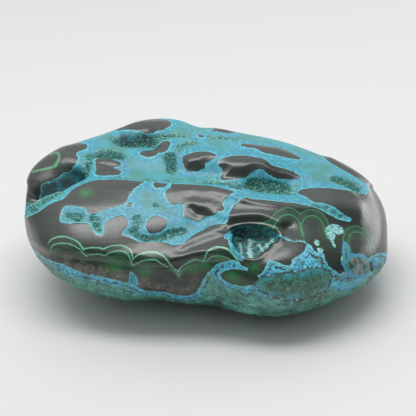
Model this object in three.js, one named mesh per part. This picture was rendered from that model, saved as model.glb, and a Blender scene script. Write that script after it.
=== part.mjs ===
// A polished freeform of chrysocolla in malachite: one loose stone, lying on its ground underside.
// Millimetres. +Z is up, +X runs along the stone, and -Y is the side of its best face.
// The origin is on the surface it rests on, under the middle of its box.
import * as THREE from "three";
import { mergeVertices } from "three/addons/utils/BufferGeometryUtils.js";

// The body before its relief, measured from the middle of the stone
const MIDDLE_HEIGHT = 17; // of that middle above the resting surface
const CROWN = 16.5; // from the middle up to the top
const KEEL = 18.4; // from the middle down to the underside, before it is ground flat
const CROWN_FULLNESS = 2.6; // 2 is an ellipse, and more is boxier
const KEEL_FULLNESS = 2.2;

// The girdle, the stone's widest line, every 30 degrees from +X towards +Y
const GIRDLE_REACH = [46.5, 36.5, 28.5, 26.5, 33, 38, 47, 46, 34, 29.5, 39, 43.5];
const GIRDLE_RISE = [-4, -2, 0, 3, 5, 4, 2, -1, -4, -5, -6, -6]; // above the middle

// Relief is laid out on two maps of the surface, one about each pole. A map is an equal-area
// one of the directions from the middle, evened out by the stone's half sizes, and its
// coordinates are close to millimetres along the surface. On both maps u runs along +X. On the
// best face v runs up and back, and on the far face it runs down and forward.
const HALF_SIZES = new THREE.Vector3(46, 34, 20);
const MAP_SCALE = new THREE.Vector2(46, 27);
const POLE_TILT = THREE.MathUtils.degToRad(45);
const BEST_FACE = new THREE.Vector3(0, -Math.cos(POLE_TILT), Math.sin(POLE_TILT));
const FAR_FACE = BEST_FACE.clone().negate();

// Swells (+) and hollows (-) of each face: height, width of the soft edge, and path on its map
const BEST_FACE_RELIEF = [
  // the ridge along the front body, and the valley and cleft that lie behind it
  { rise: 1.8, width: 4.5, path: [[-48, 0], [-38, 4], [-30, 6], [-12, 6], [2, 5], [14, 2], [28, 1], [44, -2]] },
  { rise: -3.4, width: 4.5, path: [[-44, 9], [-30, 12], [-12, 12], [4, 11], [16, 8.5], [30, 7]] },
  { rise: -2.4, width: 4, path: [[-47, 5], [-40, 8]] },
  // the plateau, its shoulders and its pits
  { rise: 1.8, width: 8, path: [[-52, 14], [-38, 18]] },
  { rise: 1.2, width: 7, path: [[-4, 19], [18, 17]] },
  { rise: 1, width: 9, path: [[-20, 30], [-5, 30]] },
  { rise: 1.5, width: 7, path: [[34, 7], [50, 7]] },
  { rise: -2.6, width: 3.5, path: [[-25, 24], [-19, 24]] },
  { rise: -1.5, width: 4, path: [[-3, 33], [-5, 40]] },
  { rise: -1.2, width: 2.4, path: [[-11, 17]] },
  { rise: -1.4, width: 3, path: [[18, 6.5], [25, 6]] },
  // the front body: a trough down it, the rolls on either side, and the open vug with its lip
  { rise: 0.9, width: 2.8, path: [[-1, 0], [6, -4], [13, -3.5], [20, -5]] },
  { rise: -1.2, width: 4.2, path: [[3, -1], [-1, -7], [-8, -12], [-18, -14]] },
  { rise: 1, width: 3.6, path: [[-24, -19], [-8, -18.5], [3, -16]] },
  { rise: -3.5, width: 4.2, path: [[10, -11], [14, -11]] },
  { rise: 0.9, width: 2.4, path: [[6, -16], [12, -17], [18, -14]] },
  { rise: -0.9, width: 2.2, path: [[22, -8]] },
  // the foot of the front body
  { rise: 2.3, width: 9, path: [[45, -22], [54, -20]] },
  { rise: -1.8, width: 5, path: [[-13, -27], [-16, -34]] },
];
const FAR_FACE_RELIEF = [
  { rise: 1.6, width: 7, path: [[-30, 6], [-12, 10]] },
  { rise: -1.8, width: 5, path: [[-4, 16], [2, 8], [4, -2]] },
  { rise: 1.5, width: 6.5, path: [[16, 9], [30, 4]] },
  { rise: -1.4, width: 4.5, path: [[-40, -4], [-28, -6], [-14, -3]] },
  { rise: -1.3, width: 3.2, path: [[27, -6]] },
  { rise: 1.2, width: 6, path: [[-6, -12], [12, -12]] },
];

// The foot of the best face is pushed out and up into a rounded rim that overhangs its ground
const RIM_PUSH = new THREE.Vector3(0, -5.7, 3);
const RIM_TILT = THREE.MathUtils.degToRad(10); // of the rim's middle line, below level
const RIM_SPREAD = { above: 0.2, below: 0.4 }; // how far the push fades out either way

const FINENESS = 16; // steps along each side of an icosahedron's face, over its own one

// The value at an angle of a smooth closed curve through values set evenly round the stone.
function around(values, angle) {
  const count = values.length;
  const turn = THREE.MathUtils.euclideanModulo(angle / (2 * Math.PI), 1) * count;
  const at = Math.floor(turn);
  const [before, here, next, after] = [-1, 0, 1, 2].map((step) => values[(at + step + count) % count]);
  const t = turn - at;
  const slopeHere = (next - before) / 2;
  const slopeNext = (after - here) / 2;
  const square = 3 * (next - here) - 2 * slopeHere - slopeNext;
  const cube = 2 * (here - next) + slopeHere + slopeNext;
  return here + slopeHere * t + square * t ** 2 + cube * t ** 3;
}

// How far the smooth body reaches from the middle in a direction of length 1.
function bodyReach(direction) {
  const level = Math.hypot(direction.x, direction.y);
  const angle = Math.atan2(direction.y, direction.x);
  const reach = around(GIRDLE_REACH, angle);
  const girdle = (around(GIRDLE_RISE, angle) / reach) * level ** 3;
  const upright = direction.z - girdle;
  const [height, fullness] = upright > 0 ? [CROWN, CROWN_FULLNESS] : [KEEL, KEEL_FULLNESS];
  const sum = (level / reach) ** fullness + (Math.abs(upright) / height) ** fullness;
  return sum ** (-1 / fullness);
}

// Where a direction falls on the map about a pole.
function mapPoint(direction, pole) {
  const even = direction.clone().divide(HALF_SIZES).normalize();
  const upMap = new THREE.Vector3(1, 0, 0).cross(pole).negate();
  const spread = Math.sqrt(2 / Math.max(1 + even.dot(pole), 1e-6));
  return new THREE.Vector2(even.x, even.dot(upMap)).multiplyScalar(spread).multiply(MAP_SCALE);
}

// A path's points joined by a smooth curve, as short straight pieces.
function smoothPath(path) {
  const points = path.map(([u, v]) => new THREE.Vector2(u, v));
  return points.length > 2 ? new THREE.SplineCurve(points).getPoints(8 * points.length) : points;
}

function distanceToPath(point, path) {
  let nearest = point.distanceTo(path[0]);
  for (let i = 1; i < path.length; i += 1) {
    const along = path[i].clone().sub(path[i - 1]);
    const offset = point.clone().sub(path[i - 1]);
    const t = THREE.MathUtils.clamp(offset.dot(along) / along.lengthSq(), 0, 1);
    nearest = Math.min(nearest, offset.sub(along.multiplyScalar(t)).length());
  }
  return nearest;
}

function reliefOf(strokes, pole) {
  const drawn = strokes.map(({ rise, width, path }) => ({ rise, width, path: smoothPath(path) }));
  return (direction) => {
    const point = mapPoint(direction, pole);
    const swell = ({ rise, width, path }) => rise * Math.exp(-((distanceToPath(point, path) / width) ** 2));
    return drawn.reduce((sum, stroke) => sum + swell(stroke), 0);
  };
}

// The share of the rim's push, from 0 to 1, that the surface takes in a direction.
function rimShare(direction) {
  const even = direction.clone().divide(HALF_SIZES).normalize();
  const lift = Math.atan2(even.z, -even.y) + RIM_TILT;
  const spread = Math.sin(lift) > 0 ? RIM_SPREAD.above : RIM_SPREAD.below;
  return (1 - even.x ** 4) * Math.exp((Math.cos(lift) - 1) / spread);
}

function stoneGeometry() {
  const ball = new THREE.IcosahedronGeometry(1, FINENESS);
  ball.deleteAttribute("normal");
  ball.deleteAttribute("uv");
  const geometry = mergeVertices(ball, 1e-5);
  const bestFaceRelief = reliefOf(BEST_FACE_RELIEF, BEST_FACE);
  const farFaceRelief = reliefOf(FAR_FACE_RELIEF, FAR_FACE);
  const position = geometry.getAttribute("position");
  const point = new THREE.Vector3();
  for (let i = 0; i < position.count; i += 1) {
    const direction = point.fromBufferAttribute(position, i).multiply(HALF_SIZES).normalize().clone();
    const reach = bodyReach(direction) + bestFaceRelief(direction) + farFaceRelief(direction);
    point.copy(direction).multiplyScalar(reach).addScaledVector(RIM_PUSH, rimShare(direction));
    point.z = Math.max(point.z + MIDDLE_HEIGHT, 0); // the underside is ground flat
    position.setXYZ(i, point.x, point.y, point.z);
  }
  geometry.computeBoundingBox();
  const centre = geometry.boundingBox.getCenter(new THREE.Vector3());
  geometry.translate(-centre.x, -centre.y, 0);
  geometry.computeVertexNormals();
  return geometry;
}

const stone = new THREE.Mesh(
  stoneGeometry(),
  new THREE.MeshStandardMaterial({ color: 0x2f7d84, roughness: 0.15, metalness: 0 }),
);
stone.name = "stone";

const group = new THREE.Group();
group.add(stone);

export default group;
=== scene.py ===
# A polished freeform of chrysocolla in malachite: the looks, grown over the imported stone.
# Lengths below are in millimetres, and metres are only used where Blender's objects are made.
import math
import bmesh
import bpy
import numpy as np
from mathutils import Matrix, Vector, noise
from mathutils.bvhtree import BVHTree


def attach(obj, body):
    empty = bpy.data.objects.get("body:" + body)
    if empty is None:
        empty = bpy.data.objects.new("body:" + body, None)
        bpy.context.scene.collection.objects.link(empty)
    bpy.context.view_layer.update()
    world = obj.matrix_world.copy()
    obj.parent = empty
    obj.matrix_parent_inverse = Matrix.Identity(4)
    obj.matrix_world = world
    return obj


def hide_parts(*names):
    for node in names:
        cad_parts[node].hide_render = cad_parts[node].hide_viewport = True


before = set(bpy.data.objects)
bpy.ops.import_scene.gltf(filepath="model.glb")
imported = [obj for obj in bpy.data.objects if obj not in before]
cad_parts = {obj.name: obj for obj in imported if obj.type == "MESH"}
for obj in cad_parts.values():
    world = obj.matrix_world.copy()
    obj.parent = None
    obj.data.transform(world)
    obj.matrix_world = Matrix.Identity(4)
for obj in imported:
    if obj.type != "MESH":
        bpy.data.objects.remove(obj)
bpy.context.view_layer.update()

MM = 0.001  # metres
SEED = 7

# ---------------------------------------------------------------- driving dimensions
MIDDLE = np.array((0.3, 5.3, 17.0))  # the middle of the stone, which every direction is taken from
HALF_SIZES = np.array((46.0, 34.0, 20.0))
MAP_SCALE = np.array((46.0, 27.0))  # makes the map's coordinates close to millimetres
POLE_TILT = math.radians(45)
BEST_FACE = np.array((0.0, -math.cos(POLE_TILT), math.sin(POLE_TILT)))
MAP_RIGHT = np.array((1.0, 0.0, 0.0))
RIM_PUSH = np.array((0.0, -5.7, 3.0))  # the push that makes the rim at the foot of the best face
RIM_TILT = math.radians(10)  # of the rim's middle line, below level
RIM_SPREAD_ABOVE, RIM_SPREAD_BELOW = 0.2, 0.4
HALF_GRID = 157  # cells from the middle of the skin's square to its side
CROWDING = 0.22  # how much closer together the skin's points lie on the best face
FAR_OFF = 6.0  # distances to outlines are cut off here
CRYSTAL_COUNT = 7000
CRYSTAL_HEIGHTS = (0.16, 0.42)  # least and greatest
CRYSTAL_WIDTHS = (0.35, 0.6)  # least and greatest, as shares of the height
CRYSTAL_ROOT = 0.4  # how deep a crystal is set in, as a share of its height
CRYSTAL_LEAN = 0.45  # how far crystals lean off upright
CAD_ROUNDING = 3  # subdivisions that round off the CAD stone's facets
PUSH_BACK_PASSES = 12
UV_SCALE = 0.497  # keeps the bake map just inside its edges

# The fine relief
CHRYSOCOLLA_DROP = 0.14  # below the harder malachite
ISLAND_RISE = 0.5
DRUSE_DEPTH = 0.6
VUG_DEPTH, VUG_FLOOR_DEPTH = 1.6, 1.0
VUG_LIP_RISE, VUG_LIP_PLACE, VUG_LIP_WIDTH = 0.3, -0.5, 0.45
DRUSE_LUMPS, VUG_LUMPS, BASE_LUMPS = 0.3, 0.35, 0.22
DRUSE_WANDER = 1.1  # how far the druse's edges stray from its paths

# The maps are equal-area maps of the directions from the middle, one about the best face and
# one about the face behind it, taken before the rim is pushed out. u runs along +X on both. On
# the best face v runs up and back, and on the far face it runs down and forward.

# ---------------------------------------------------------------- shapes on the best face
# A shape is either a smooth outline through (u, v) points, or a group of merged ovals, each given
# as (u, v, half length, half width, degrees it is turned up from +u).
FRONT_BODY = [
    (-62, -5), (-46, -3), (-42, -2.3), (-38, 0.2), (-35.8, 1), (-34.5, 3.5), (-32.5, 5.7), (-30, 7.3),
    (-26, 7.8), (-18, 7.2), (-10, 6.6), (0, 6.2), (5, 4.8), (8, 3.4), (11, 1.7), (15, 1.2), (20, 0.7),
    (25, 0.2), (30, -0.9), (33, -2.4), (37, -4.4), (40, -5.2), (42, -4.9), (39.6, -3.4), (37, -1.6),
    (35, -0.2), (33, 0.6), (30.3, 1), (29.2, 2.6), (28.9, 4.4), (30.6, 5.8), (34, 6.2), (41, 5.5),
    (46, 5), (50.3, 4.2), (52.5, 6), (51.5, 9), (48, 12), (44.5, 16), (43, 20), (46, 24), (56, 22),
    (66, 8), (70, -8), (62, -26), (46, -30), (0, -38), (-46, -30), (-64, -24),
]
KEY_FIELD = [
    (-20, -0.6), (-23.3, -1.3), (-26.8, -2.7), (-28.4, -3.5), (-30, -3.3), (-30.6, -1.9), (-35.1, -1.1),
    (-35.9, -5.6), (-30.5, -6), (-29.3, -6.8), (-28.8, -8), (-28.2, -9.5), (-26.8, -9.4), (-26.6, -7.5),
    (-25.8, -5.7), (-24.2, -4.4), (-22.2, -4.1), (-20, -5),
]
MAIN_FIELD = [
    (-17, 9.5), (-17.6, 7), (-18.8, 5.3), (-20.8, 2.3), (-21.2, 0.6), (-22.4, -1), (-22.2, -4.3),
    (-21.4, -5.6), (-21.7, -7.4), (-22.9, -9.6), (-21.2, -11), (-18.8, -13), (-14.6, -13.4),
    (-10.3, -15.1), (-7.2, -14.5), (-4, -11.8), (-1.3, -10.2), (2.2, -8.1), (4.8, -7.3), (6.1, -5.5),
    (6.4, -3), (8.4, 0.5), (11, 2.4), (9.5, 4.6), (8, 3.8), (6.4, 2.7), (5, 1.2), (4.3, -0.9),
    (4.9, -2.6), (1.9, -4.5), (-0.8, -5.3), (-3, -6.9), (-5.4, -5.9), (-7.3, -4.8), (-6.9, -1.8),
    (-7.3, -0.4), (-10.1, -0.5), (-11.4, 0.7), (-11.9, 2.4), (-11.4, 4.2), (-10.4, 5.5), (-10.2, 9),
    (-11.4, 8), (-11.6, 5.8), (-14, 4.7), (-15.1, 6.6), (-15, 9.5),
]
CLEFT = [
    (-54, -4.4), (-46, -3.2), (-42, -2.3), (-38, 0.2), (-35.8, 1), (-34.5, 3.5), (-36, 9), (-44, 10),
    (-47, 8.4), (-49.6, 6.4), (-50, 3), (-49, 0),
]
ROUND_ISLAND = [
    (-14.6, -4.4), (-13.4, -4.8), (-12, -5.6), (-12, -7.2), (-13.4, -9.3), (-15.7, -10.3), (-17.2, -9),
    (-17.3, -7), (-16.3, -5.3),
]
CROSS_SPECK = [
    (-21.9, -1.7), (-21.2, -0.8), (-21.6, 0), (-20.7, -0.1), (-20.1, -0.3), (-20.4, -0.9), (-20.2, -1.5),
    (-21, -1.3),
]
LEFT_LOBE = [
    (-66, 6), (-54, 1), (-50.2, 5), (-49, 7.4), (-46.6, 9), (-43.6, 11), (-41, 12), (-38.4, 13.9),
    (-37.2, 15.6), (-37.5, 17.2), (-35, 18.7), (-35.6, 20.6), (-40, 22), (-46, 23.5), (-56, 22), (-68, 14),
]
TWIN_LOBES = [(-30.5, 14.8, 3, 1.5, 0), (-30.5, 11.5, 3.3, 1.9, 0), (-32, 13.2, 1.8, 1.8, 0)]
SLANTED_ISLAND = [(-19, 19.5, 2.9, 1.7, 10), (-15.5, 22.2, 3.4, 2.5, 25)]
MIDDLE_ISLAND = [
    (-8.5, 17), (-7.4, 18), (-3, 18.8), (0, 18.7), (2.5, 17.8), (1.7, 16.7), (-0.7, 15.6), (-0.9, 14.5),
    (-2.4, 13.9), (-6.5, 13.6), (-7.8, 14.2),
]
DOUBLE_ISLAND = [
    (3.3, 15), (5, 16.8), (10, 17.4), (14, 17.1), (17.8, 16.2), (20.5, 14.4), (26.3, 13.3), (28.9, 12.2),
    (31, 10.2), (27, 10.2), (22.5, 10.9), (20.3, 11.8), (17.4, 13), (15, 12.7), (13, 10.9), (9.5, 10.4),
    (5.4, 10.2), (4.4, 11.2), (4.9, 13.6),
]
UPPER_ISLAND = [
    (10.7, 22), (12, 24.2), (17.8, 23.6), (24.3, 23.7), (27.4, 22.5), (31.4, 19.2), (31.2, 17.9),
    (26.3, 18), (20.6, 18.6), (17, 19.3), (15.6, 21), (13, 21.4),
]
BACK_RIM_ISLAND = [
    (-31, 29), (-25, 29.3), (-18.3, 28.4), (-15, 28.7), (-12.4, 30.4), (-13, 33), (-18, 34), (-26, 33),
]
RIM_STRIP = [(1.6, 31.4), (7, 31), (10.4, 32.4), (8, 34.5), (2.6, 34)]
SMALL_SPOT = [(-3.6, 26.6), (-2.4, 27.4), (-1.2, 26.6), (-2.2, 25.4)]
CREST_SLIVER = [(5.4, 5.9), (8, 5.8), (10, 5), (8.4, 4.6)]

VUG = [(13, -9.7, 6.2, 2.9, -3), (11, -12.5, 4, 3.8, 0), (14, -11.7, 4, 2.7, 35)]
BASE = [
    (-62, -15), (-50, -14.5), (-42, -17), (-35, -20), (-28, -22.5), (-22, -26), (-18, -30), (-10, -32.5),
    (-4, -31), (-1, -25), (3, -19.5), (7, -17.5), (10, -19), (14, -18.5), (16, -16), (20, -17.5),
    (21.5, -15.5), (24.5, -14), (26.5, -11.5), (28, -14), (30, -14), (31, -17.5), (34, -20), (38, -21.5),
    (46, -21), (62, -20), (72, -24), (74, -34), (50, -44), (0, -47), (-50, -44), (-76, -34), (-72, -20),
]
GRANULAR_MASS = [(22, -23, 9.6, 3.9, 3), (27, -21.2, 5, 3, 0)]
SMALL_TRIANGLE = [(-21.5, -20.5), (-20.5, -26), (-23, -26)]
NODULE = [(8.5, -22.8, 4.7, 2.6, 15), (12.5, -18.5, 1.8, 2.8, -15)]
END_PATCH = [(41, -18.5, 5.6, 3.6, -8), (37.5, -14.5, 1.4, 3.2, -15), (46.5, -19, 2, 2.2, 0)]
BIG_INCLUSION = [(36.3, -7.8, 2.6, 1.5, -12), (34, -9, 1.4, 2.2, 0), (34, -11.5, 0.6, 1.7, 8)]
SMALL_INCLUSION = [(29, -11.5, 0.9, 0.8, 0), (29.5, -13.5, 0.9, 0.7, 0)]
CUP_INCLUSION = [(36.2, -16.7, 0.9, 1.7, 5)]

# The order matters: each shape is laid over those before it.
MALACHITE, CHRYSOCOLLA = 1, -1
BEST_FACE_LAYERS = [
    (MALACHITE, FRONT_BODY), (CHRYSOCOLLA, KEY_FIELD), (CHRYSOCOLLA, MAIN_FIELD), (CHRYSOCOLLA, CLEFT),
    (MALACHITE, ROUND_ISLAND), (MALACHITE, CROSS_SPECK), (MALACHITE, LEFT_LOBE), (MALACHITE, TWIN_LOBES),
    (MALACHITE, SLANTED_ISLAND), (MALACHITE, MIDDLE_ISLAND), (MALACHITE, DOUBLE_ISLAND),
    (MALACHITE, UPPER_ISLAND), (MALACHITE, BACK_RIM_ISLAND), (MALACHITE, RIM_STRIP),
    (MALACHITE, SMALL_SPOT), (MALACHITE, CREST_SLIVER), (CHRYSOCOLLA, SMALL_TRIANGLE),
]
PALE_INCLUSIONS = [BIG_INCLUSION, SMALL_INCLUSION, CUP_INCLUSION]

# Thin chrysocolla veins: half width and path
VEINS = [
    (0.2, [(19, -9.5), (22, -11), (25, -11), (26.5, -12.5)]),
    (0.9, [(5.5, -11.5), (7.5, -10), (10, -8)]),
    (0.8, [(6.5, -12), (7, -15), (9, -16.5)]),
    (1, [(49, -7.5), (51, -7.5)]),
    (0.8, [(50, -9.5), (50.5, -11.5), (51.5, -13)]),
    (0.5, [(52.5, -11), (56, -12.5)]),
    (0.6, [(55, -1), (58.5, -2.5)]),
]
# The kidney-shaped growths, whose tops carry pale green bands: the centre and radii of each
SCALLOPS = [
    (-36, -13.5, 4.5, 4), (-29.5, -14.8, 3, 1.8), (-24.8, -18, 4, 5), (-17, -24, 7.4, 7.6),
    (-3, -24, 6, 5.4), (3.8, -20.5, 5.2, 5.5),
]
# Round-topped growths at the right of the front body, given in the same way
EYES = [
    (16.6, -9.2, 3.4, 3.8), (21.6, -7, 5.4, 5.6), (29, -7.2, 5.1, 5.4), (43.2, -12.8, 5.7, 5.9),
]
# Single pale green lines: half width and path
GREEN_LINES = [
    (0.3, [(-45.5, 16.5), (-43.5, 17), (-42, 16), (-42.5, 14.5), (-44, 13), (-47, 12), (-51, 11)]),
]

# Druse: paths along the middle of each pitted band, with its half width
DRUSE = [
    (0.9, [(-26, 9.6), (-18, 9.2), (-10, 8.9), (0, 8.3)]),
    (1.5, [(0, 9.4), (5, 9), (10, 8), (14, 7.4)]),
    (2.4, [(15, 7.8), (18.5, 8), (23, 7.2), (27.4, 6.8)]),
    (1.3, [(-45, -1), (-41, 1), (-38, 4), (-38, 8)]),
    (1.2, [(-37.4, 11), (-35.4, 14), (-34, 16.6), (-30, 17.6), (-26.7, 17.6)]),
    (2.2, [(-28.6, 24.8), (-24, 26.4), (-20, 26.6)]),
    (1, [(-20, 27.2), (-14, 27), (-8, 26.4)]),
    (1.5, [(-12.8, 19), (-12, 17), (-13, 14.6)]),
    (0.9, [(-10, 21.4), (-7, 22.3), (-4, 22.4)]),
    (0.9, [(1, 27), (6, 27.6), (10, 27.4)]),
    (1.8, [(40.6, 9.8), (44, 8.8), (46.8, 6.4)]),
    (1.1, [(-34.2, -3.6), (-32, -4.3)]),
    (0.9, [(-28.8, -5), (-27.9, -7.4)]),
    (0.9, [(-19, -4.6), (-19.2, -7), (-20.6, -9.2)]),
    (1.1, [(-19.6, -10.8), (-16, -12), (-13, -11.4), (-10, -10), (-8.2, -9.6)]),
    (0.7, [(-15, -0.8), (-13, -1.7)]),
    (0.6, [(30.5, -0.2), (34, -1.6), (38, -3.8)]),
]
# Hollows and ridges of the polished surface: rise, half width and path
FOLDS = [
    (-4.6, 3.4, [(-53, 2), (-47, 4.5), (-41.5, 7.5), (-39.5, 9)]),
    (-2.6, 2.8, [(-28.6, 24.8), (-24, 26.6), (-20, 26.8)]),
    (-1, 2, [(-33, 17.6), (-27, 17.8)]),
    (-0.9, 1.8, [(-12.8, 18.6), (-12.6, 15)]),
    (-1.1, 2.8, [(14, 8), (18.5, 7.6), (23, 6.8), (27, 6.6)]),
    (-1, 2.4, [(40.6, 9.8), (44, 8.8), (46.8, 6.4)]),
    (-0.5, 2.4, [(-26, 10.4), (-10, 9.8), (2, 9), (10, 8)]),
    (0.6, 2.4, [(-31.5, 22), (-30.5, 22)]),
    (0.3, 1.3, [(7, 2.5), (10, 1), (14, 0), (28, -1.5)]),
    (0.2, 2, [(-7, -14.5), (-2, -12), (5, -8.5)]),
    (-0.3, 1.8, [(-7.5, -17), (-1, -14), (4, -12)]),
    (0.34, 1.6, [(-10, -18.5), (-4, -17), (1, -16.5), (3.5, -15), (6, -15.5)]),
    (0.3, 1.6, [(6.5, -4.5), (10, -3.5), (14, -3.5), (19, -5.5)]),
    (-0.2, 1.5, [(8, -6), (14, -5.5)]),
    (0.18, 2, [(-4, 0), (-1, -2), (4, -4)]),
    (-0.3, 3, [(-5, 2.5), (1, 2)]),
    (-0.25, 1.8, [(-5, -2), (-3.5, -4)]),
    (-0.4, 1.8, [(21.5, -7), (22, -7)]),
    (-0.7, 1.2, [(46.5, -18.5), (47, -20.5)]),
]
# The best face's lower part stands out as a shelf, down to this edge along the rim
SHELF_RISE = 1.0
SHELF_SLOPE = 0.035
RIM_EDGE = [(-60, -9), (-41, -12), (-30, -14), (-20, -17), (-12, -19), (-4, -17.5), (12, -14)]
# Where the growths glow a brighter green: centre and radius
GLOWS = [
    (-30.5, 3, 1.5), (-25, -18.5, 2.4), (-18, -21.5, 2.2), (-5, -21.5, 2), (-0.5, -20.5, 2), (3.5, -18, 1.6),
    (7, -23, 2), (12, -19, 1.4),
]
# The deepest parts of the ground, where shade is painted in as a dark teal: half width and path
SHADED_HOLLOWS = [
    (3, [(-56, 3.5), (-50, 6), (-45.5, 8), (-41, 10)]),
    (1.9, [(-27, 26), (-21, 27)]),
    (0.8, [(-31, 17.6), (-27.4, 17.8)]),
    (0.8, [(-12.6, 18), (-12.8, 16)]),
    (0.5, [(24, 6), (26.5, 6)]),
    (1.2, [(43, 9), (46.6, 6.8)]),
]
# Pale streaks in the vug: half width and path
VUG_STREAKS = [
    (0.6, [(12.5, -11), (11.5, -15)]), (0.4, [(14.5, -11), (15, -13)]), (0.4, [(17.5, -10), (16, -12)]),
    (0.3, [(10, -11.5), (9.5, -14.5)]),
]

# ---------------------------------------------------------------- shapes on the far face
FAR_LOBE = [
    (-74, -12), (-66, -2), (-57, -2.5), (-50, -6), (-45, -11), (-41, -17), (-44, -23), (-52, -27),
    (-62, -25),
]
FAR_FOOT = [
    (-74, 14), (-68, 4), (-58, 3.5), (-48, 1), (-40, -1.6), (-32, -1), (-26, 1), (-20, 0.6), (-15, 3.6),
    (-18, 8), (-28, 10), (-42, 12), (-54, 16), (-62, 20),
]
FAR_SHOULDER = [
    (53, -19), (46, -17.6), (40, -16), (34, -14), (27, -10.6), (21, -4), (12, -1.4), (6, 2), (10, 6.4),
    (20, 9), (32, 10), (44, 13), (56, 20), (68, 24), (82, 4), (70, -12), (60, -17),
]
FAR_WINDOW = [
    (33, -9), (37, -11), (41, -9.6), (45, -6.4), (51, -5), (52, -2), (47, -1.4), (42, -2.6), (37, -1.6),
    (33.4, -3.6), (30.6, -5.6),
]
FAR_KIDNEY = [
    (-34, -16), (-30, -20), (-24, -21), (-19, -18), (-14, -16), (-9, -12.6), (-10, -8), (-16, -6),
    (-22, -8.6), (-28, -8), (-34, -10.6), (-36, -13.4),
]
FAR_BEAN = [
    (-4, -22.6), (1, -25.6), (7, -24.6), (12, -21.4), (11, -17.8), (7, -18.4), (2.6, -15.8), (-2.4, -17.6),
]
FAR_DROP = [(18, -20), (22, -23.6), (28, -23.4), (32, -20.6), (27, -18.6), (22.6, -16)]
FAR_LENS = [(-20, -31.6), (-12, -33.6), (-4, -32.2), (1, -29.8), (-5, -28.4), (-14, -28.6)]
FAR_SPOT = [(-1, -7.6), (3, -10.4), (7, -9), (8, -5.8), (4, -3), (0, -4)]
FAR_CRUMB = [(-44, -3.6), (-40.6, -6.8), (-38, -5.6), (-40, -3.4)]
FAR_BASE = [
    (-64, 15), (-54, 11.4), (-46, 10.6), (-38, 7.6), (-30, 8.6), (-25, 5.4), (-19, 6.6), (-13, 10),
    (-6, 8.4), (-2, 5.2), (4, 5.6), (9, 9.4), (17, 8), (24, 10.6), (33, 8.8), (42, 11.4), (52, 15), (64, 20),
    (58, 30), (40, 38), (0, 41), (-40, 38), (-62, 28),
]
FAR_FACE_LAYERS = [
    (MALACHITE, FAR_LOBE), (MALACHITE, FAR_FOOT), (MALACHITE, FAR_SHOULDER), (CHRYSOCOLLA, FAR_WINDOW),
    (MALACHITE, FAR_KIDNEY), (MALACHITE, FAR_BEAN), (MALACHITE, FAR_DROP), (MALACHITE, FAR_LENS),
    (MALACHITE, FAR_SPOT), (MALACHITE, FAR_CRUMB),
]
FAR_GREEN_LINES = [
    (0.3, [
        (-32, -12), (-28.6, -16.6), (-23.6, -16.4), (-21.4, -12.6), (-18, -13.4), (-13.6, -11),
        (-12.4, -8),
    ]),
    (0.25, [(-29.4, -11.4), (-27.6, -14.4), (-24.4, -14.4), (-23, -11.4), (-20, -10.6)]),
    (0.3, [(22, 4), (23.6, -1.6), (28, -4.6), (32, -1.6), (33.4, 2), (36, 0.6), (40, 2), (42, 6)]),
    (0.3, [(24.4, 4.4), (25.6, 0), (28.4, -2.2), (30.8, 0.6), (31.8, 4.6)]),
    (0.3, [(-52, 8), (-48, 4.6), (-43, 4.6), (-39.6, 7), (-36, 3.4), (-30.4, 3), (-27.4, 6)]),
    (0.3, [(56, -18), (52, -14.6), (53, -10.4), (58, -8.6)]),
]
FAR_DRUSE = [
    (1.6, [(-34, -24.4), (-26, -25.6), (-18, -24.6)]),
    (1.8, [(10, -13), (14.6, -10.4), (18, -7)]),
    (1.2, [(-8, -15), (-5, -12.4), (-5.6, -9.6)]),
    (1.3, [(33, -26), (39, -23.4)]),
    (1.6, [(-56, -0.2), (-48, -2), (-43, -7)]),
    (0.9, [(35.6, -7.4), (40, -6.4), (45, -3.8)]),
    (1, [(-14, -2.6), (-6, -1.2), (0, 0.6)]),
]
FAR_FOLDS = [
    (-1.8, 2.8, [(-56, -0.2), (-48, -2), (-43, -7)]),
    (-1.3, 2.4, [(-34, -24.4), (-26, -25.6), (-18, -24.6)]),
    (-1, 2.4, [(10, -13), (14.6, -10.4), (18, -7)]),
    (0.6, 2.6, [(-20, -1), (-8, 1), (2, 3)]),
    (-0.6, 2.2, [(26, 2), (34, 4), (42, 6)]),
    (0.5, 2.2, [(28, -4), (36, 0), (46, 2)]),
]


# ---------------------------------------------------------------- making objects
def new_mesh(name, points, faces, material):
    """A mesh from points in millimetres."""
    mesh = bpy.data.meshes.new(name)
    mesh.from_pydata((points * MM).tolist(), [], faces)
    mesh.materials.append(material)
    return mesh


def add_attribute(mesh, name, domain, values):
    attribute = mesh.attributes.new(name, "FLOAT", domain)
    attribute.data.foreach_set("value", values.astype(np.float32))


def add_object(name, data):
    made = bpy.data.objects.new(name, data)
    bpy.context.scene.collection.objects.link(made)
    return made


# ---------------------------------------------------------------- maps and distances
def unit(vectors):
    return vectors / np.linalg.norm(vectors, axis=-1, keepdims=True)


def face_map(directions, pole):
    """Where directions from the middle fall on the map about a pole."""
    even = unit(directions / HALF_SIZES)
    map_up = np.cross(pole, MAP_RIGHT)
    spread = np.sqrt(2 / np.maximum(1 + even @ pole, 1e-6))
    return spread[:, None] * np.stack([even @ MAP_RIGHT, even @ map_up], 1) * MAP_SCALE


def smooth_points(points, closed, steps=4):
    """Points along the smooth curve through the given ones."""
    p = np.asarray(points, float)
    if closed:
        before, here, nxt, after = np.roll(p, 1, 0), p, np.roll(p, -1, 0), np.roll(p, -2, 0)
    else:
        padded = np.vstack([p[:1], p, p[-1:]])
        before, here, nxt, after = padded[:-3], padded[1:-2], padded[2:-1], padded[3:]
    slope_here, slope_next = (nxt - before) / 2, (after - here) / 2
    rows = []
    for t in np.arange(steps) / steps:
        square = 3 * (nxt - here) - 2 * slope_here - slope_next
        cube = 2 * (here - nxt) + slope_here + slope_next
        rows.append(here + slope_here * t + square * t**2 + cube * t**3)
    curve = np.stack(rows, 1).reshape(-1, 2)
    return curve if closed else np.vstack([curve, p[-1:]])


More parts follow.
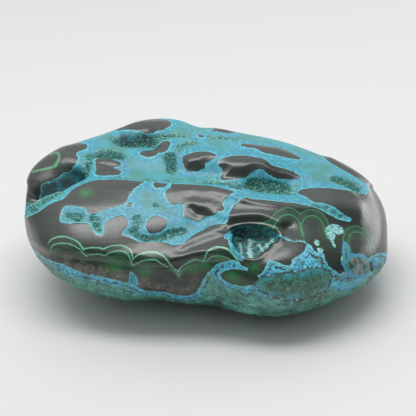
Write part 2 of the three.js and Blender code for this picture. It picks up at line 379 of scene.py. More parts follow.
def distance_to_segments(points, starts, ends):
    nearest = np.full(len(points), np.inf)
    for start, end in zip(starts, ends):
        along = end - start
        offset = points - start
        t = np.clip(offset @ along / max(along @ along, 1e-12), 0, 1)
        nearest = np.minimum(nearest, np.hypot(*(offset - t[:, None] * along).T))
    return nearest


def inside(points, corners):
    result = np.zeros(len(points), bool)
    x, y = points.T
    for (x0, y0), (x1, y1) in zip(corners, np.roll(corners, -1, 0)):
        if y0 == y1:
            continue
        crosses = ((y0 > y) != (y1 > y)) & (x < (x1 - x0) * (y - y0) / (y1 - y0) + x0)
        result ^= crosses
    return result


def near_box(points, corners, reach):
    low, high = corners.min(0) - reach, corners.max(0) + reach
    return np.where(((points > low) & (points < high)).all(1))[0]


def outline_depth(points, outline):
    """How deep points lie inside a smooth closed outline: negative outside, and cut off far away."""
    corners = smooth_points(outline, closed=True)
    depth = np.full(len(points), -FAR_OFF)
    near = near_box(points, corners, FAR_OFF)
    found = distance_to_segments(points[near], corners, np.roll(corners, -1, 0))
    found = np.where(inside(points[near], corners), found, -found)
    depth[near] = np.clip(found, -FAR_OFF, FAR_OFF)
    return depth


def ovals_depth(points, ovals):
    """How deep points lie inside a group of merged ovals: negative outside."""
    depth = np.full(len(points), -FAR_OFF)
    for u, v, half_length, half_width, degrees in ovals:
        turn = math.radians(degrees)
        offset = points - (u, v)
        along = offset @ (math.cos(turn), math.sin(turn)) / half_length
        across = offset @ (-math.sin(turn), math.cos(turn)) / half_width
        size = np.hypot(along, across)
        steepness = np.hypot(along / half_length, across / half_width)
        own = (1 - size) * size / np.maximum(steepness, 1e-6)
        depth = np.maximum(depth, np.where(size < 1e-3, half_width, own))
    return np.minimum(depth, FAR_OFF)


def shape_depth(points, shape):
    is_ovals = len(shape[0]) == 5
    return ovals_depth(points, shape) if is_ovals else outline_depth(points, shape)


def band_depth(points, half_width, path):
    """How deep points lie inside a band along a path: negative outside."""
    line = smooth_points(path, closed=False) if len(path) > 2 else np.asarray(path, float)
    depth = np.full(len(points), -FAR_OFF)
    near = near_box(points, line, FAR_OFF + half_width)
    depth[near] = half_width - distance_to_segments(points[near], line[:-1], line[1:])
    return np.maximum(depth, -FAR_OFF)


def bands_depth(points, bands):
    return np.max([band_depth(points, width, path) for width, path in bands], 0)


def below_arches(points, arches):
    """How far points lie straight below the tops of a row of arches, and the slope of the top there."""
    u = points[:, 0]
    top = np.full(len(points), -np.inf)
    slope = np.zeros(len(points))
    for centre, foot, radius_u, radius_v in arches:
        across = (u - centre) / radius_u
        level = np.sqrt(np.maximum(1 - across**2, 0.04))
        own = foot + radius_v * level - 3 * radius_u * np.maximum(np.abs(across) - 1, 0)
        slope = np.where(own > top, radius_v / radius_u * np.abs(across) / level, slope)
        top = np.maximum(top, own)
    return np.clip(top - points[:, 1], -FAR_OFF, FAR_OFF), np.hypot(1, np.minimum(slope, 3))


def arches_depth(points, arches):
    """How deep points lie inside a row of round-topped arches, and how far down the arch they are."""
    depth = np.full(len(points), -FAR_OFF)
    fall = np.zeros(len(points))
    for u, v, radius_u, radius_v in arches:
        across = (points[:, 0] - u) / radius_u
        up = (points[:, 1] - v) / radius_v
        own = (radius_u + radius_v) / 2 * (1 - np.hypot(across, np.maximum(up, 0)))
        fall = np.where(own > depth, np.maximum(-up, 0), fall)
        depth = np.maximum(depth, own)
    return np.clip(depth, -FAR_OFF, FAR_OFF), fall


def layered_depth(points, layers):
    depth = np.full(len(points), -FAR_OFF)
    for mineral, shape in layers:
        own = shape_depth(points, shape)
        depth = np.maximum(depth, own) if mineral == MALACHITE else np.minimum(depth, -own)
    return depth


def soft_step(values, low, high):
    t = np.clip((values - low) / (high - low), 0, 1)
    return t * t * (3 - 2 * t)


# ---------------------------------------------------------------- the skin's points
def square_to_sphere(x, y):
    """An equal-area map from the square of side 2 to the unit sphere."""
    inward = 1 - np.abs(x) - np.abs(y)
    radius = 1 - np.abs(inward)
    turn = (np.abs(y) - np.abs(x)) / np.maximum(radius, 1e-9) + 1
    level = radius * np.sqrt(2 - radius**2)
    across = np.copysign(np.cos(turn * math.pi / 4) * level, x)
    up = np.copysign(np.sin(turn * math.pi / 4) * level, y)
    return across, up, np.copysign(1 - radius**2, inward)


def skin_grid():
    """The skin's directions, triangles and the place of each triangle corner in the square."""
    side = 2 * HALF_GRID + 1
    line = np.linspace(-1, 1, side)
    y, x = np.meshgrid(line, line, indexing="ij")
    across, up, out = square_to_sphere(x, y)
    map_up = np.cross(BEST_FACE, MAP_RIGHT)
    even = across[..., None] * MAP_RIGHT + up[..., None] * map_up + (out[..., None] + CROWDING) * BEST_FACE
    directions = unit(unit(even) * HALF_SIZES).reshape(-1, 3)

    # the square's sides fold shut, each half of a side onto its other half
    label = np.arange(side * side).reshape(side, side)
    for edge in (label[0], label[-1], label[:, 0], label[:, -1]):
        edge[:] = np.minimum(edge, edge[::-1])
    label[-1, 0] = label[0, -1] = label[-1, -1] = label[0, 0]
    kept, number = np.unique(label, return_inverse=True)
    number = number.reshape(side, side)

    corner = np.arange(side * side).reshape(side, side)
    a, b, c, d = corner[:-1, :-1], corner[:-1, 1:], corner[1:, 1:], corner[1:, :-1]
    middle = (line[:-1] + line[1:]) / 2
    same_sign = (middle[:, None] > 0) == (middle[None, :] > 0)
    split = same_sign[..., None, None]
    falling = np.stack([np.stack([a, b, d], -1), np.stack([b, c, d], -1)], -2)
    rising = np.stack([np.stack([a, b, c], -1), np.stack([a, c, d], -1)], -2)
    corners = np.where(split, falling, rising).reshape(-1, 3)
    square = np.stack([x, y], -1).reshape(-1, 2)[corners]
    return directions[kept], number.ravel()[corners], square


def rim_push(directions):
    """How far the surface in each direction is pushed to make the rim."""
    even = unit(directions / HALF_SIZES)
    lift = np.arctan2(even[:, 2], -even[:, 1]) + RIM_TILT
    spread = np.where(np.sin(lift) > 0, RIM_SPREAD_ABOVE, RIM_SPREAD_BELOW)
    share = (1 - even[:, 0] ** 4) * np.exp((np.cos(lift) - 1) / spread)
    return share[:, None] * RIM_PUSH


def without_rim_push(points):
    """Points of the stone, taken back to where they were before the rim was pushed out."""
    before = points
    for _ in range(PUSH_BACK_PASSES):
        before = points - rim_push(before - MIDDLE)
    return before


def smooth_cad_surface():
    """The CAD stone with its facets rounded off and its rim drawn in, to cast lines onto."""
    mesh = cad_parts["stone"].data.copy()
    work = bmesh.new()
    work.from_mesh(mesh)
    bmesh.ops.remove_doubles(work, verts=work.verts, dist=1e-6)
    work.to_mesh(mesh)
    work.free()
    rounded = add_object("rounded", mesh)
    levels = rounded.modifiers.new("round", "SUBSURF")
    levels.levels = CAD_ROUNDING
    shown = rounded.evaluated_get(bpy.context.evaluated_depsgraph_get()).to_mesh()
    points = np.empty(len(shown.vertices) * 3, np.float32)
    shown.vertices.foreach_get("co", points)
    faces = [tuple(face.vertices) for face in shown.polygons]
    drawn_in = without_rim_push(points.reshape(-1, 3) / MM)
    tree = BVHTree.FromPolygons(drawn_in.tolist(), faces)
    bpy.data.objects.remove(rounded)
    bpy.data.meshes.remove(mesh)
    return tree


def reach_from_middle(directions):
    surface = smooth_cad_surface()
    middle = Vector(MIDDLE)
    return np.array([surface.ray_cast(middle, Vector(d))[3] for d in directions])


def point_normals(points, triangles):
    corners = points[triangles]
    faces = np.cross(corners[:, 1] - corners[:, 0], corners[:, 2] - corners[:, 0])
    total = np.stack([
        sum(np.bincount(triangles[:, k], faces[:, axis], len(points)) for k in range(3))
        for axis in range(3)
    ], 1)
    return unit(total)


def lumps(points, size, octaves=3):
    """Smooth noise from -1 to 1 at the points, with features of about a size."""
    return np.array([noise.fractal(Vector(p / size), 0.6, 2.0, octaves) for p in points])


# ---------------------------------------------------------------- the stone
def markings(directions):
    """Each marking as a number per point, in millimetres on the map unless it is a share."""
    best = face_map(directions, BEST_FACE)
    far = face_map(directions, -BEST_FACE)
    u, v = best.T
    scallop, steep = below_arches(best, SCALLOPS)
    eye, eye_fall = arches_depth(best, EYES)
    island = np.minimum(layered_depth(best, BEST_FACE_LAYERS), -bands_depth(best, VEINS))
    base = np.minimum(outline_depth(best, BASE), -ovals_depth(best, NODULE))
    return {
        "island": np.maximum(island, layered_depth(far, FAR_FACE_LAYERS)),
        "scallop": scallop,
        "steep": steep,
        "eye": eye,
        "eye_fall": eye_fall,
        "green_line": np.maximum(bands_depth(best, GREEN_LINES), bands_depth(far, FAR_GREEN_LINES)),
        "druse": np.maximum(bands_depth(best, DRUSE), bands_depth(far, FAR_DRUSE)),
        # where shade is painted into the deepest hollows
        "deep": bands_depth(best, SHADED_HOLLOWS),
        "vug": ovals_depth(best, VUG),
        "pale": np.max([ovals_depth(best, inclusion) for inclusion in PALE_INCLUSIONS], 0),
        "streak": bands_depth(best, VUG_STREAKS),
        "patch": ovals_depth(best, END_PATCH),
        "base": np.maximum(base, outline_depth(far, FAR_BASE)),
        "nodule": ovals_depth(best, NODULE),
        "mass": ovals_depth(best, GRANULAR_MASS),
        "glow": np.sum([np.exp(-((u - x) ** 2 + (v - y) ** 2) / r**2) for x, y, r in GLOWS], 0),
        "fold": folds_rise(best, FOLDS) + folds_rise(far, FAR_FOLDS),
        "u": u,
        "v": v,
    }


def folds_rise(points, folds):
    total = np.zeros(len(points))
    for rise, half_width, path in folds:
        off = half_width - band_depth(points, half_width, path)
        total += rise * np.exp(-2 * (off / half_width) ** 2)
    return total


def shelf_rise(u, v):
    """The shelf climbs down the face, and fades out past the rim edge and at both its ends."""
    above_edge = v - np.interp(u, *smooth_points(RIM_EDGE, closed=False).T)
    climb = SHELF_RISE * soft_step(-v, -6, 2) + SHELF_SLOPE * np.clip(-2 - v, 0, 14)
    ends = soft_step(u, -52, -40) * soft_step(-u, -12, -2)
    return climb * soft_step(above_edge, -3, 0.5) * ends


def relief(points, marks):
    """How far each point stands out from the smooth stone."""
    island = marks["island"]
    rise = shelf_rise(marks["u"], marks["v"]) + marks["fold"]
    rise -= CHRYSOCOLLA_DROP * soft_step(-island, -0.2, 0.5)
    rise += ISLAND_RISE * soft_step(island, 0, 3.5) * soft_step(marks["v"], 7, 9)
    pitted = pitting(marks)
    rise -= DRUSE_DEPTH * pitted
    vug = soft_step(marks["vug"], -0.1, 0.8)
    rise -= VUG_DEPTH * vug + VUG_FLOOR_DEPTH * soft_step(marks["vug"], 0.6, 3.5)
    rise += VUG_LIP_RISE * np.exp(-(((marks["vug"] - VUG_LIP_PLACE) / VUG_LIP_WIDTH) ** 2))
    base = soft_step(marks["base"], 0.3, 2.5)
    rough = np.where((pitted > 0.02) | (vug > 0.02))[0]
    rise[rough] += (DRUSE_LUMPS * pitted + VUG_LUMPS * vug)[rough] * lumps(points[rough], 0.8)
    low = np.where(base > 0.02)[0]
    rise[low] += BASE_LUMPS * base[low] * lumps(points[low], 1.4, 4)
    return rise


def pitting(marks):
    """Where the druse is open, from 0 to 1."""
    return soft_step(marks["druse"], -0.3, 0.7) * soft_step(-marks["island"], 0.1, 0.7)


def make_stone(material):
    directions, triangles, square = skin_grid()
    points = MIDDLE + directions * reach_from_middle(directions)[:, None] + rim_push(directions)
    points[:, 2] = np.maximum(points[:, 2], 0)
    marks = markings(directions)
    marks["druse"] += DRUSE_WANDER * lumps(points, 2.8)
    normals = point_normals(points, triangles)
    grounded = soft_step(points[:, 2], 0, 0.6)
    points += normals * (relief(points, marks) * grounded)[:, None]
    points[:, 2] = np.maximum(points[:, 2], 0)

    mesh = new_mesh("polished_stone", points, triangles.tolist(), material)
    layer = mesh.uv_layers.new(name="OFBake")
    layer.uv.foreach_set("vector", (square * UV_SCALE + 0.5).astype(np.float32).ravel())
    for name, values in marks.items():
        add_attribute(mesh, name, "POINT", values)
    mesh.polygons.foreach_set("use_smooth", np.ones(len(triangles), bool))
    mesh.update()
    stone = add_object("polished_stone", mesh)
    return stone, points[triangles], (pitting(marks) * grounded)[triangles].mean(1)


# ---------------------------------------------------------------- the crystals
def make_crystals(corners, openness, material):
    """Small crystals standing at all angles in the druse, joined into one piece."""
    chance = np.random.default_rng(SEED)
    outward = np.cross(corners[:, 1] - corners[:, 0], corners[:, 2] - corners[:, 0])
    weight = np.linalg.norm(outward, axis=1) * soft_step(openness, 0.5, 0.9)
    chosen = chance.choice(len(corners), CRYSTAL_COUNT, p=weight / weight.sum())
    shares = chance.dirichlet((1, 1, 1), CRYSTAL_COUNT)
    roots = np.einsum("nk,nkc->nc", shares, corners[chosen])
    up = unit(unit(outward[chosen]) + chance.normal(0, CRYSTAL_LEAN, roots.shape))
    side = unit(np.cross(up, chance.normal(0, 1, roots.shape)))
    third = np.cross(up, side)
    height = chance.uniform(*CRYSTAL_HEIGHTS, CRYSTAL_COUNT)[:, None]
    width = height * chance.uniform(*CRYSTAL_WIDTHS, CRYSTAL_COUNT)[:, None]
    ring = [roots + width * turned for turned in (side, third, -side, -third)]
    points = np.stack([roots + height * up, *ring, roots - CRYSTAL_ROOT * height * up], 1).reshape(-1, 3)

    tip, foot, around = 0, 5, (1, 2, 3, 4)
    pairs = list(zip(around, around[1:] + around[:1]))
    pattern = np.array([(tip, a, b) for a, b in pairs] + [(foot, b, a) for a, b in pairs])
    faces = (np.arange(CRYSTAL_COUNT)[:, None, None] * 6 + pattern).reshape(-1, 3)
    mesh = new_mesh("druse_crystals", points, faces.tolist(), material)
    add_attribute(mesh, "tone", "FACE", np.repeat(chance.random(CRYSTAL_COUNT), len(pattern)))
    mesh.update()
    return add_object("druse_crystals", mesh)


# ---------------------------------------------------------------- node helpers
class Nodes:
    """Short names for the shader nodes that the materials are built from."""

    def __init__(self, tree):
        self.tree = tree

    def put(self, socket, value):
        if isinstance(value, bpy.types.NodeSocket):
            self.tree.links.new(value, socket)
        elif isinstance(value, tuple) and len(value) == 3 and socket.type == "RGBA":
            socket.default_value = (*value, 1)
        else:
            socket.default_value = value

    def node(self, kind, out=0, values=(), **settings):
        made = self.tree.nodes.new(kind)
        for name, value in settings.items():
            setattr(made, name, value)
        for key, value in dict(values).items():
            self.put(made.inputs[key], value)
        return made.outputs[out]

    def place(self):
        """The point on the object, in millimetres."""
        here = self.node("ShaderNodeTexCoord", "Object")
        return self.node("ShaderNodeVectorMath", 0, {0: here, 3: 1000.0}, operation="SCALE")

    def mark(self, name):
        return self.node("ShaderNodeAttribute", "Fac", attribute_name=name)

    def math(self, operation, a, b=0.0, c=0.0):
        return self.node("ShaderNodeMath", 0, {0: a, 1: b, 2: c}, operation=operation)

    def add(self, a, b):
        return self.math("ADD", a, b)

    def times(self, a, b):
        return self.math("MULTIPLY", a, b)

    def vector(self, x, y, z=0.0):
        return self.node("ShaderNodeCombineXYZ", 0, {0: x, 1: y, 2: z})

    def noise(self, place, size, detail=3.0, roughness=0.55):
        """Noise from 0 to 1 with features of about a size."""
        values = {"Vector": place, "Scale": 1 / size, "Detail": detail, "Roughness": roughness}
        return self.node("ShaderNodeTexNoise", 0, values)

    def wander(self, place, size, height, detail=3.0):
        """Noise from minus a height to plus it."""
        return self.math("MULTIPLY_ADD", self.noise(place, size, detail), 4 * height, -2 * height)

    def cells(self, place, size, out="Distance", feature="F1"):
        values = {"Vector": place, "Scale": 1 / size}
        return self.node("ShaderNodeTexVoronoi", out, values, feature=feature)

    def grains(self, place, size):
        """A random number from 0 to 1 for each small grain."""
        return self.node("ShaderNodeSeparateColor", 0, {0: self.cells(place, size, "Color")})

    def step(self, value, low, high, start=0.0, end=1.0):
        """A soft step from start at low to end at high."""
        if low > high:
            low, high, start, end = high, low, end, start
        values = {0: value, 1: low, 2: high, 3: start, 4: end}
        return self.node("ShaderNodeMapRange", 0, values, interpolation_type="SMOOTHSTEP")

    def line(self, value, centre, half_width):
        """1 on a line where a distance has a value, falling to 0 at its edges."""
        off = self.math("ABSOLUTE", self.add(value, -centre))
        return self.step(off, half_width, half_width * 0.4)

    def mix(self, share, a, b):
        made = self.tree.nodes.new("ShaderNodeMix")
        made.data_type = "RGBA"
        for socket, value in zip((made.inputs[0], made.inputs[6], made.inputs[7]), (share, a, b)):
            self.put(socket, value)
        return made.outputs[2]

    def blend(self, share, a, b):
        return self.node("ShaderNodeMix", 0, {0: share, 2: a, 3: b})

    def ramp(self, value, stops):
        made = self.tree.nodes.new("ShaderNodeValToRGB")
        elements = made.color_ramp.elements
        while len(elements) < len(stops):
            elements.new(0.5)
        for element, (place, colour) in zip(elements, stops):
            element.position = place
            element.color = (*colour, 1)
        self.put(made.inputs[0], value)
        return made.outputs[0]


def new_material(name):
    material = bpy.data.materials.new(name)
    material.use_nodes = True
    shader = material.node_tree.nodes["Principled BSDF"]
    return material, Nodes(material.node_tree), shader


def srgb(red, green, blue):
    """A colour given as it looks on screen, from 0 to 255, as the light it reflects."""
    def light(value):
        value /= 255
        return value / 12.92 if value <= 0.04045 else ((value + 0.055) / 1.055) ** 2.4
    return (light(red), light(green), light(blue))


# ---------------------------------------------------------------- the stone's material
DRUSE_STOPS = [
    (0.0, srgb(20, 78, 72)), (0.35, srgb(48, 128, 116)), (0.7, srgb(86, 170, 156)),
    (1.0, srgb(140, 210, 196)),
]
MASS_STOPS = [
    (0.05, srgb(14, 50, 44)), (0.4, srgb(36, 92, 74)), (0.7, srgb(60, 126, 104)),
    (0.97, srgb(120, 184, 162)),
]
VUG_STOPS = [(0.25, srgb(4, 38, 40)), (0.5, srgb(16, 90, 88)), (0.8, srgb(56, 148, 146))]
CELL_RINGS = [
    (0.0, srgb(30, 44, 36)), (0.2, srgb(120, 114, 98)), (0.36, srgb(36, 52, 42)), (0.52, srgb(100, 98, 84)),
    (0.7, srgb(28, 46, 38)),
]
STONE_IOR = 1.68
BUMP_HEIGHT = 0.25
# Growth bands inside the arches: how deep, half width and strength
SCALLOP_BANDS = ((0.02, 0.27, 1), (1.8, 0.25, 0.75), (3.1, 0.16, 0.2))
EYE_BANDS = ((0, 0.32, 0.8), (1.75, 0.34, 0.9), (0.85, 0.2, 0.3), (2.7, 0.14, 0.35), (3.5, 0.12, 0.3))


def bands_over(n, colour, depth, share, line_colour, bands):
    """Pale growth bands inside the tops of arches, over dark green."""
    ground = n.times(n.step(depth, 0, 0.4), n.step(depth, 3.6, 1.9))
    colour = n.mix(n.times(share, ground), colour, srgb(12, 52, 34))
    for centre, half_width, strength in bands:
        drawn = n.times(n.times(n.line(depth, centre, half_width), share), strength)
        colour = n.mix(drawn, colour, line_colour)
    return colour


def scallop_colour(n, dark, wobble):
    """The kidney-shaped growths at the foot of the polished body, drawn at an even width."""
    depth = n.add(n.mark("scallop"), wobble)
    off_eyes = n.step(n.mark("eye"), -1, -2)
    off_eyes = n.times(off_eyes, n.step(n.mark("u"), -40.4, -38.6))
    deep_green = n.times(n.times(n.step(depth, 0.2, 1.2), n.step(depth, 5.8, 3.6)), off_eyes)
    dark = n.mix(deep_green, dark, srgb(6, 48, 28))
    for centre, half_width, strength in SCALLOP_BANDS:
        off = n.math("ABSOLUTE", n.add(depth, -centre))
        drawn = n.step(n.math("DIVIDE", off, n.mark("steep")), half_width, half_width * 0.4)
        dark = n.mix(n.times(n.times(drawn, off_eyes), strength), dark, srgb(100, 182, 142))
    return dark


def malachite_colour(n, place, wobble):
    dark = n.mix(n.step(n.noise(place, 9), 0.4, 0.7), srgb(12, 22, 18), srgb(10, 34, 26))
    dark = n.mix(n.times(n.noise(place, 0.7, 5, 0.7), 0.3), dark, srgb(30, 50, 42))
    broad_bands = n.noise(n.vector(n.times(n.mark("u"), 0.1), n.times(n.mark("v"), 0.5)), 1, 3)
    dark = n.mix(n.step(broad_bands, 0.5, 0.66, 0, 0.5), dark, srgb(16, 60, 42))
    rings = n.ramp(n.cells(place, 2.6), CELL_RINGS)
    above_base = n.step(n.add(n.mark("base"), n.wander(place, 2.5, 0.9)), -4.2, -2.8)
    left_side = n.step(n.mark("u"), -1, -8)
    dark = n.mix(n.times(above_base, n.times(left_side, 0.9)), dark, rings)
    dark = scallop_colour(n, dark, wobble)
    nodule = n.mix(n.noise(place, 2, 4), srgb(6, 40, 26), srgb(34, 54, 36))
    dark = n.mix(n.step(n.mark("nodule"), -0.6, 0.6), dark, nodule)
    glow = n.times(n.mark("glow"), n.step(n.noise(place, 1.2), 0.3, 0.6, 0.35, 1))
    dark = n.mix(glow, dark, srgb(6, 112, 52))
    near_top = n.step(n.mark("eye_fall"), 0.85, 0.25)
    dark = bands_over(n, dark, n.add(n.mark("eye"), wobble), near_top, srgb(46, 130, 84), EYE_BANDS)
    return n.mix(n.step(n.add(n.mark("green_line"), wobble), -0.1, 0.1, 0, 0.85), dark, srgb(70, 156, 108))


def chrysocolla_colour(n, place, edge):
    mottle = n.noise(place, 4, 3)
    fine = n.noise(place, 0.9, 5, 0.65)
    halo = n.mix(n.step(fine, 0.35, 0.7), srgb(14, 122, 148), srgb(48, 172, 194))
    open_ground = n.mix(n.step(mottle, 0.4, 0.62), srgb(46, 150, 166), srgb(48, 132, 128))
    open_ground = n.mix(n.step(fine, 0.5, 0.75, 0, 0.5), open_ground, srgb(78, 166, 164))
    away = n.add(n.math("MULTIPLY", edge, -1), n.wander(place, 1.8, 0.8))
    blue = n.mix(n.step(away, 1.5, 3), halo, open_ground)
    rim = n.times(n.line(edge, -0.16, 0.28), n.step(n.noise(place, 1.5), 0.35, 0.6, 0.25, 0.85))
    return n.mix(rim, blue, srgb(96, 196, 208))


def druse_colour(n, place):
    grain = n.math("POWER", n.grains(place, 0.3), 1.4)
    return n.ramp(n.add(grain, n.wander(place, 1.5, 0.15)), DRUSE_STOPS)


def base_colour(n, place, depth):
    earth = n.mix(n.step(n.noise(place, 3, 4), 0.35, 0.65), srgb(46, 116, 102), srgb(96, 172, 154))
    stretched = n.vector(n.times(n.mark("u"), 0.14), n.times(depth, 1.3), n.wander(place, 4, 0.3))
    layers = n.noise(stretched, 1, 4)
    earth = n.mix(n.step(layers, 0.52, 0.62, 0, 0.8), earth, srgb(34, 66, 58))
    earth = n.mix(n.step(layers, 0.4, 0.33, 0, 0.7), earth, srgb(128, 200, 188))
    flakes = n.cells(n.vector(n.mark("u"), n.times(n.mark("v"), 1.8)), 3.2, feature="DISTANCE_TO_EDGE")
    cracks = n.times(n.step(flakes, 0.05, 0.015), n.step(n.noise(place, 2.5), 0.45, 0.6))
    earth = n.mix(cracks, earth, srgb(20, 36, 38))
    blue = n.mix(n.step(n.noise(place, 0.8, 5, 0.7), 0.35, 0.65), srgb(36, 134, 174), srgb(100, 210, 234))
    vein_width = n.step(n.mark("u"), 12, 15, 2.0, 4.5)
    vein = n.step(n.math("SUBTRACT", depth, vein_width), 0.6, -0.6)
    return earth, blue, vein


def low_ground_colour(n, place):
    """The earthy ground under the polished body, its blue vein, and the granular mass set in it."""
    depth = n.add(n.mark("base"), n.wander(place, 1.1, 0.35, 4))
    earth, blue, vein = base_colour(n, place, depth)
    patchy = n.step(n.noise(place, 2.2, 4), 0.36, 0.5)
    colour = n.mix(n.times(vein, patchy), earth, blue)
    specks = n.step(n.noise(place, 0.45, 3), 0.62, 0.68)
    colour = n.mix(n.times(specks, vein), colour, srgb(16, 24, 38))
    wavy = n.add(depth, n.wander(place, 1.7, 0.5))
    crack = n.times(n.line(wavy, 1.3, 0.26), n.step(n.noise(place, 1.3), 0.38, 0.52))
    colour = n.mix(crack, colour, srgb(20, 20, 30))
    colour = n.mix(n.line(depth, 0.15, 0.25), colour, srgb(98, 192, 208))
    mass_depth = n.add(n.mark("mass"), n.wander(place, 1.2, 0.4, 4))
    grain = n.add(n.times(n.grains(place, 0.4), 0.5), n.times(n.noise(place, 1.8, 5, 0.65), 0.6))
    colour = n.mix(n.step(mass_depth, -0.1, 0.3), colour, n.ramp(grain, MASS_STOPS))
    cyan_part = n.times(n.step(mass_depth, 2.6, 0.6), n.step(n.noise(place, 2.6), 0.42, 0.56))
    colour = n.mix(n.times(cyan_part, n.step(mass_depth, 0, 0.4)), colour, srgb(54, 148, 160))
    colour = n.mix(n.times(n.line(mass_depth, -0.1, 0.34), 0.9), colour, srgb(18, 20, 34))
    dots = n.step(n.noise(place, 0.5, 2), 0.56, 0.62)
    return n.mix(n.times(n.line(mass_depth, -0.12, 0.28), dots), colour, srgb(190, 234, 236)), depth


def vug_colour(n, place):
    grain = n.add(n.times(n.grains(place, 0.45), 0.4), n.times(n.noise(place, 1.2, 5, 0.65), 0.7))
    colour = n.ramp(grain, VUG_STOPS)
    cracks = n.step(n.cells(place, 2.2, feature="DISTANCE_TO_EDGE"), 0.06, 0.01, 0, 0.8)
    colour = n.mix(cracks, colour, srgb(6, 30, 34))
    upper_edge = n.times(n.step(n.mark("vug"), 1.4, 0.2), n.step(n.mark("v"), -11.5, -9.5))
    colour = n.mix(n.times(upper_edge, n.step(n.noise(place, 0.8), 0.4, 0.6)), colour, srgb(60, 176, 204))
    streak = n.step(n.add(n.mark("streak"), n.wander(place, 0.7, 0.5)), -0.2, 0.4, 0, 0.75)
    colour = n.mix(streak, colour, srgb(176, 226, 224))
    # Painted sheen: a cream highlight along the lower edge of the vug
    vug_floor_sheen = n.times(n.step(n.mark("vug"), 0.9, 0.2), n.step(n.mark("v"), -13.6, -15))
    return n.mix(n.times(vug_floor_sheen, 0.8), colour, srgb(186, 204, 190))


def inclusion_colour(n, place):
    return n.mix(n.step(n.noise(place, 0.6, 4), 0.4, 0.6), srgb(70, 146, 136), srgb(160, 218, 220))


def patch_colour(n, place):
    ground = n.step(n.noise(place, 1.6, 4), 0.42, 0.55)
    colour = n.mix(ground, srgb(26, 84, 60), srgb(128, 134, 122))
    colour = n.mix(n.step(n.noise(place, 1.1, 4), 0.54, 0.62), colour, srgb(58, 150, 170))
    # Painted shade: the patch is darkened where its surface dips into a hollow
    pit_shade = n.step(n.mark("fold"), -0.2, -0.5)
    colour = n.mix(n.line(n.mark("patch"), 0.5, 0.8), colour, srgb(56, 152, 182))
    return n.mix(pit_shade, colour, srgb(14, 24, 20))


def crystal_material():
    material, n, shader = new_material("druse_crystal")
    tone = n.math("POWER", n.mark("tone"), 2)
    mottle = n.step(n.noise(n.place(), 2), 0.35, 0.65)
    low = n.mix(mottle, srgb(28, 100, 90), srgb(60, 146, 138))
    n.put(shader.inputs["Base Color"], n.mix(tone, low, srgb(164, 226, 214)))
    n.put(shader.inputs["Roughness"], n.blend(n.mark("tone"), 0.3, 0.16))
    return material


def stone_material():
    material, n, shader = new_material("polished_chrysocolla")
    place = n.place()
    edge = n.add(n.mark("island"), n.add(n.wander(place, 1.6, 0.22), n.wander(place, 0.6, 0.12)))
    wobble = n.wander(place, 1.6, 0.16)
    malachite = n.step(edge, -0.05, 0.05)
    colour = n.mix(malachite, chrysocolla_colour(n, place, edge), malachite_colour(n, place, wobble))
    low_colour, low_depth = low_ground_colour(n, place)
    low = n.step(low_depth, -0.05, 0.05)
    colour = n.mix(low, colour, low_colour)
    druse = n.step(n.add(n.mark("druse"), n.wander(place, 1.2, 0.5, 4)), -1.3, 1.1)
    druse = n.times(druse, n.step(edge, -0.2, -0.5))
    colour = n.mix(druse, colour, druse_colour(n, place))
    pale = n.step(n.add(n.mark("pale"), n.wander(place, 0.8, 0.3)), -0.05, 0.1)
    colour = n.mix(pale, colour, inclusion_colour(n, place))
    patch = n.step(n.add(n.mark("patch"), n.wander(place, 1, 0.5)), -0.1, 0.1)
    colour = n.mix(patch, colour, patch_colour(n, place))
    vug = n.step(n.mark("vug"), 0.05, 0.35)
    colour = n.mix(vug, colour, vug_colour(n, place))
    # Painted shade: the chrysocolla in the deepest hollows is darkened to a dark teal
    hollow_shade_reach = n.step(n.add(n.mark("deep"), n.wander(place, 2, 0.8)), -1.4, 0.9, 0, 0.92)
    deep = n.times(hollow_shade_reach, n.step(edge, 0.1, -0.3))
    hollow_shade_colour = n.mix(n.step(n.noise(place, 2.6), 0.44, 0.6), srgb(0, 40, 38), srgb(0, 104, 114))
    colour = n.mix(deep, colour, hollow_shade_colour)

    rough = n.blend(malachite, 0.48, 0.28)
    for share, value in ((low, 0.42), (druse, 0.55), (vug, 0.5), (deep, 0.8)):
        rough = n.blend(share, rough, value)
    rough = n.add(rough, n.wander(place, 1.2, 0.04))
    n.put(shader.inputs["Base Color"], colour)
    n.put(shader.inputs["Roughness"], rough)
    shader.inputs["IOR"].default_value = STONE_IOR
    grainy = n.math("MAXIMUM", n.math("MAXIMUM", druse, vug), n.times(low, 0.5))
    height = n.times(n.noise(place, 0.5, 4, 0.65), n.blend(grainy, 0.05, 1))
    bump = n.node("ShaderNodeBump", 0, {"Strength": 0.8, "Distance": BUMP_HEIGHT * MM, "Height": height})
    n.put(shader.inputs["Normal"], bump)
    return material


# ---------------------------------------------------------------- the studio
FLOOR_SIZE = 6000
FLOOR_ALBEDO = 0.67
FLOOR_ROUGHNESS = 0.7
CAMERA_LENS = 120
CAMERA_DISTANCE = 364
CAMERA_CLIP = 10
CAMERA_ELEVATION = math.radians(28)


def make_floor():
    material, _, shader = new_material("pale_floor")
    shader.inputs["Base Color"].default_value = (FLOOR_ALBEDO, FLOOR_ALBEDO, FLOOR_ALBEDO, 1)
    shader.inputs["Roughness"].default_value = FLOOR_ROUGHNESS
    corners = np.array([(-1, -1, 0), (1, -1, 0), (1, 1, 0), (-1, 1, 0)]) * FLOOR_SIZE / 2
    mesh = new_mesh("floor", corners, [(0, 1, 2, 3)], material)
    add_object("floor", mesh)


def aim(thing, place, target):
    thing.location = place
    thing.rotation_euler = (Vector(target) - Vector(place)).to_track_quat("-Z", "Y").to_euler()


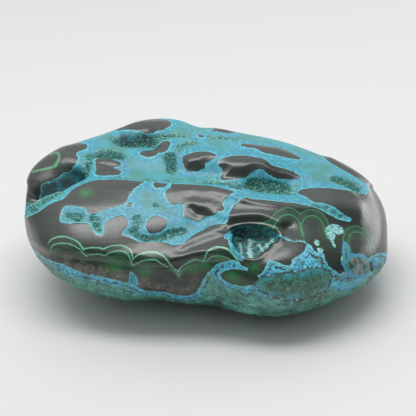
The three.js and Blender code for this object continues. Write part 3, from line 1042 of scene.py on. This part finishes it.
def make_camera():
    camera = add_object("camera", bpy.data.cameras.new("camera"))
    camera.data.lens = CAMERA_LENS
    camera.data.clip_start = CAMERA_CLIP * MM
    target = Vector(MIDDLE) * MM
    back = Vector((0, -math.cos(CAMERA_ELEVATION), math.sin(CAMERA_ELEVATION)))
    aim(camera, target + back * CAMERA_DISTANCE * MM, target)
    bpy.context.scene.camera = camera


def make_softbox(name, place, width, depth, radiance):
    """A softbox at a place from the stone's middle, aimed back at it and wide along the stone."""
    away = Vector(place).normalized()
    along = (Vector((1, 0, 0)) - away * away.x).normalized()
    lamp = bpy.data.lights.new(name, "AREA")
    lamp.shape = "RECTANGLE"
    lamp.size = width * MM
    lamp.size_y = depth * MM
    lamp.energy = radiance * math.pi * width * depth * MM**2
    light = add_object(name, lamp)
    turned = Matrix((along, away.cross(along), away)).transposed().to_4x4()
    light.matrix_world = Matrix.Translation((Vector(place) + Vector(MIDDLE)) * MM) @ turned


def make_world():
    """A pale tent of light: brightest behind and above, dimmer in front and to the right."""
    world = bpy.data.worlds.new("studio")
    world.use_nodes = True
    n = Nodes(world.node_tree)
    direction = n.node("ShaderNodeTexCoord", "Generated")
    right, behind, above = (n.node("ShaderNodeSeparateXYZ", axis, {0: direction}) for axis in range(3))
    back = n.step(above, 0.2, 0.8, 0.7, 1.3)
    front = n.step(above, 0.2, 0.9, 0.18, 0.5)
    toward_back = n.math("SUBTRACT", behind, n.times(right, 0.6))
    light = n.blend(n.step(toward_back, -0.1, 0.5), front, back)
    background = world.node_tree.nodes["Background"]
    n.put(background.inputs[1], light)
    background.inputs[0].default_value = (1, 1, 1, 1)
    bpy.context.scene.world = world


def make_studio():
    bpy.context.scene.view_settings.view_transform = "Standard"
    make_floor()
    make_camera()
    make_world()
    make_softbox("top_softbox", (-40, 5, 460), 520, 160, 5.8)
    make_softbox("side_softbox", (380, 300, 60), 320, 150, 3.4)


# ---------------------------------------------------------------- making it
make_studio()
stone, stone_corners, openness = make_stone(stone_material())
crystals = make_crystals(stone_corners, openness, crystal_material())
for piece in (stone, crystals):
    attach(piece, "root")
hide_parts("stone")
